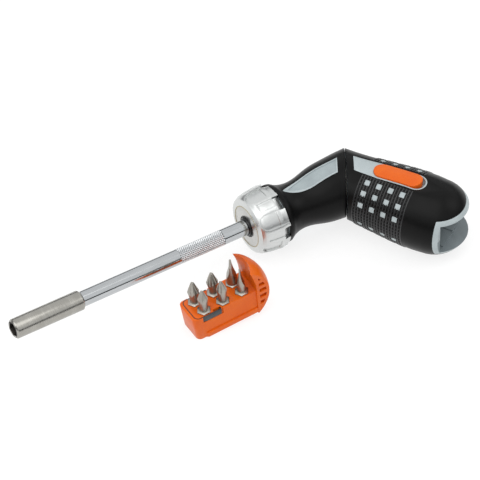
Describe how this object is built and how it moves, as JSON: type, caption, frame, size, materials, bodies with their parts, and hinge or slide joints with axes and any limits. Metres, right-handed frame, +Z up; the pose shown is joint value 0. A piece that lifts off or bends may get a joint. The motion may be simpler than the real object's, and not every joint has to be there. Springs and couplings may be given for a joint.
{
  "type": "ratcheting screwdriver",
  "caption": "Ratcheting screwdriver with a handle that swivels to a pistol grip, hex bit holder, selector collar and a bit cassette that fits in the handle.",
  "frame": {"origin": "middle of the bit socket's mouth, on the shaft's axis", "axes": "+X along the shaft from the bit socket to the handle, +Z up and square to the plane in which the handle bends, the handle bends towards -Y"},
  "size_m": [0.2377, 0.0774, 0.0391],
  "materials": {
    "stainless": "satin turned",
    "chromed_steel": "polished, with a knurled band",
    "magnet": "plain nickel",
    "dark_steel": "hardened, oiled",
    "cast_zinc": "satin plated die casting",
    "black_acetal": "matte",
    "white_acetal": "plain",
    "grey_plastic": "fine satin moulding",
    "black_rubber": "soft satin overmoulding with ribs",
    "orange_plastic": "semi-gloss moulding",
    "spring_steel": "blued strip",
    "bit_steel": "sand-blasted tool steel"
  },
  "bodies": {
    "neck": {"collar_cap": "stainless", "shaft_bush": "black_acetal", "ratchet_body": "dark_steel", "pawl_pin": "dark_steel", "neck_core_upper": "grey_plastic", "neck_core_lower": "grey_plastic", "neck_sleeve": "black_rubber", "swivel_bolt": "dark_steel", "swivel_washer": "white_acetal", "disc_spring": "dark_steel", "swivel_nut": "dark_steel"},
    "shaft": {"bit_holder": "stainless", "holder_magnet": "magnet", "shaft": "chromed_steel", "ratchet_gear": "dark_steel", "shaft_clip": "dark_steel"},
    "selector": {"selector_collar": "cast_zinc", "selector_plunger": "dark_steel", "selector_spring": "dark_steel"},
    "pawl": {"rocker_pawl": "dark_steel"},
    "grip": {"grip_core_upper": "grey_plastic", "grip_core_lower": "grey_plastic", "grip_sleeve": "black_rubber", "lock_spring": "dark_steel"},
    "lock": {"lock_button": "orange_plastic", "lock_slider": "black_acetal"},
    "cassette": {"cassette": "orange_plastic", "cassette_clip": "spring_steel"},
    "cross_bit_1": {"cross_bit_1": "bit_steel"},
    "cross_bit_2": {"cross_bit_2": "bit_steel"},
    "cross_bit_3": {"cross_bit_3": "bit_steel"},
    "cross_bit_4": {"cross_bit_4": "bit_steel"},
    "slotted_bit_1": {"slotted_bit_1": "bit_steel"},
    "slotted_bit_2": {"slotted_bit_2": "bit_steel"}
  },
  "joints": [
    {"name": "swivel", "type": "hinge", "parent": "neck", "child": "grip", "pos_m": [0.1938, 0, 0], "axis": [0.866, -0.5, 0], "range_deg": [0, 180]},
    {"name": "shaft_spin", "type": "hinge", "parent": "neck", "child": "shaft", "pos_m": [0, 0, 0], "axis": [1, 0, 0], "continuous": true},
    {"name": "selector_turn", "type": "hinge", "parent": "neck", "child": "selector", "pos_m": [0.1453, 0, 0], "axis": [1, 0, 0], "range_deg": [-25, 25]},
    {"name": "pawl_rock", "type": "hinge", "parent": "neck", "child": "pawl", "pos_m": [0.1453, 0, 0.0099], "axis": [1, 0, 0], "range_deg": [-8, 8]},
    {"name": "lock_slide", "type": "slide", "parent": "grip", "child": "lock", "axis": [0.5, -0.866, 0], "range_m": [0, 0.0015], "stiffness_N_per_m": 400, "springref_m": -0.003, "deforming": ["lock_spring"]},
    {"name": "cassette_lift", "type": "slide", "parent": "neck", "child": "cassette", "axis": [0, 0, 1], "range_m": [0, 0.06]},
    {"name": "cross_bit_1_pull", "type": "slide", "parent": "cassette", "child": "cross_bit_1", "axis": [-0.0954, 0.0017, 0.9954], "range_m": [0, 0.012]},
    {"name": "cross_bit_2_pull", "type": "slide", "parent": "cassette", "child": "cross_bit_2", "axis": [-0.0954, 0.0017, 0.9954], "range_m": [0, 0.012]},
    {"name": "cross_bit_3_pull", "type": "slide", "parent": "cassette", "child": "cross_bit_3", "axis": [-0.0954, 0.0017, 0.9954], "range_m": [0, 0.012]},
    {"name": "cross_bit_4_pull", "type": "slide", "parent": "cassette", "child": "cross_bit_4", "axis": [-0.0954, 0.0017, 0.9954], "range_m": [0, 0.012]},
    {"name": "slotted_bit_1_pull", "type": "slide", "parent": "cassette", "child": "slotted_bit_1", "axis": [-0.0954, 0.0017, 0.9954], "range_m": [0, 0.012]},
    {"name": "slotted_bit_2_pull", "type": "slide", "parent": "cassette", "child": "slotted_bit_2", "axis": [-0.0954, 0.0017, 0.9954], "range_m": [0, 0.012]}
  ],
  "couplings": [
    {"joint": "pawl_rock", "follows": "selector_turn", "ratio": 0.32}
  ]
}
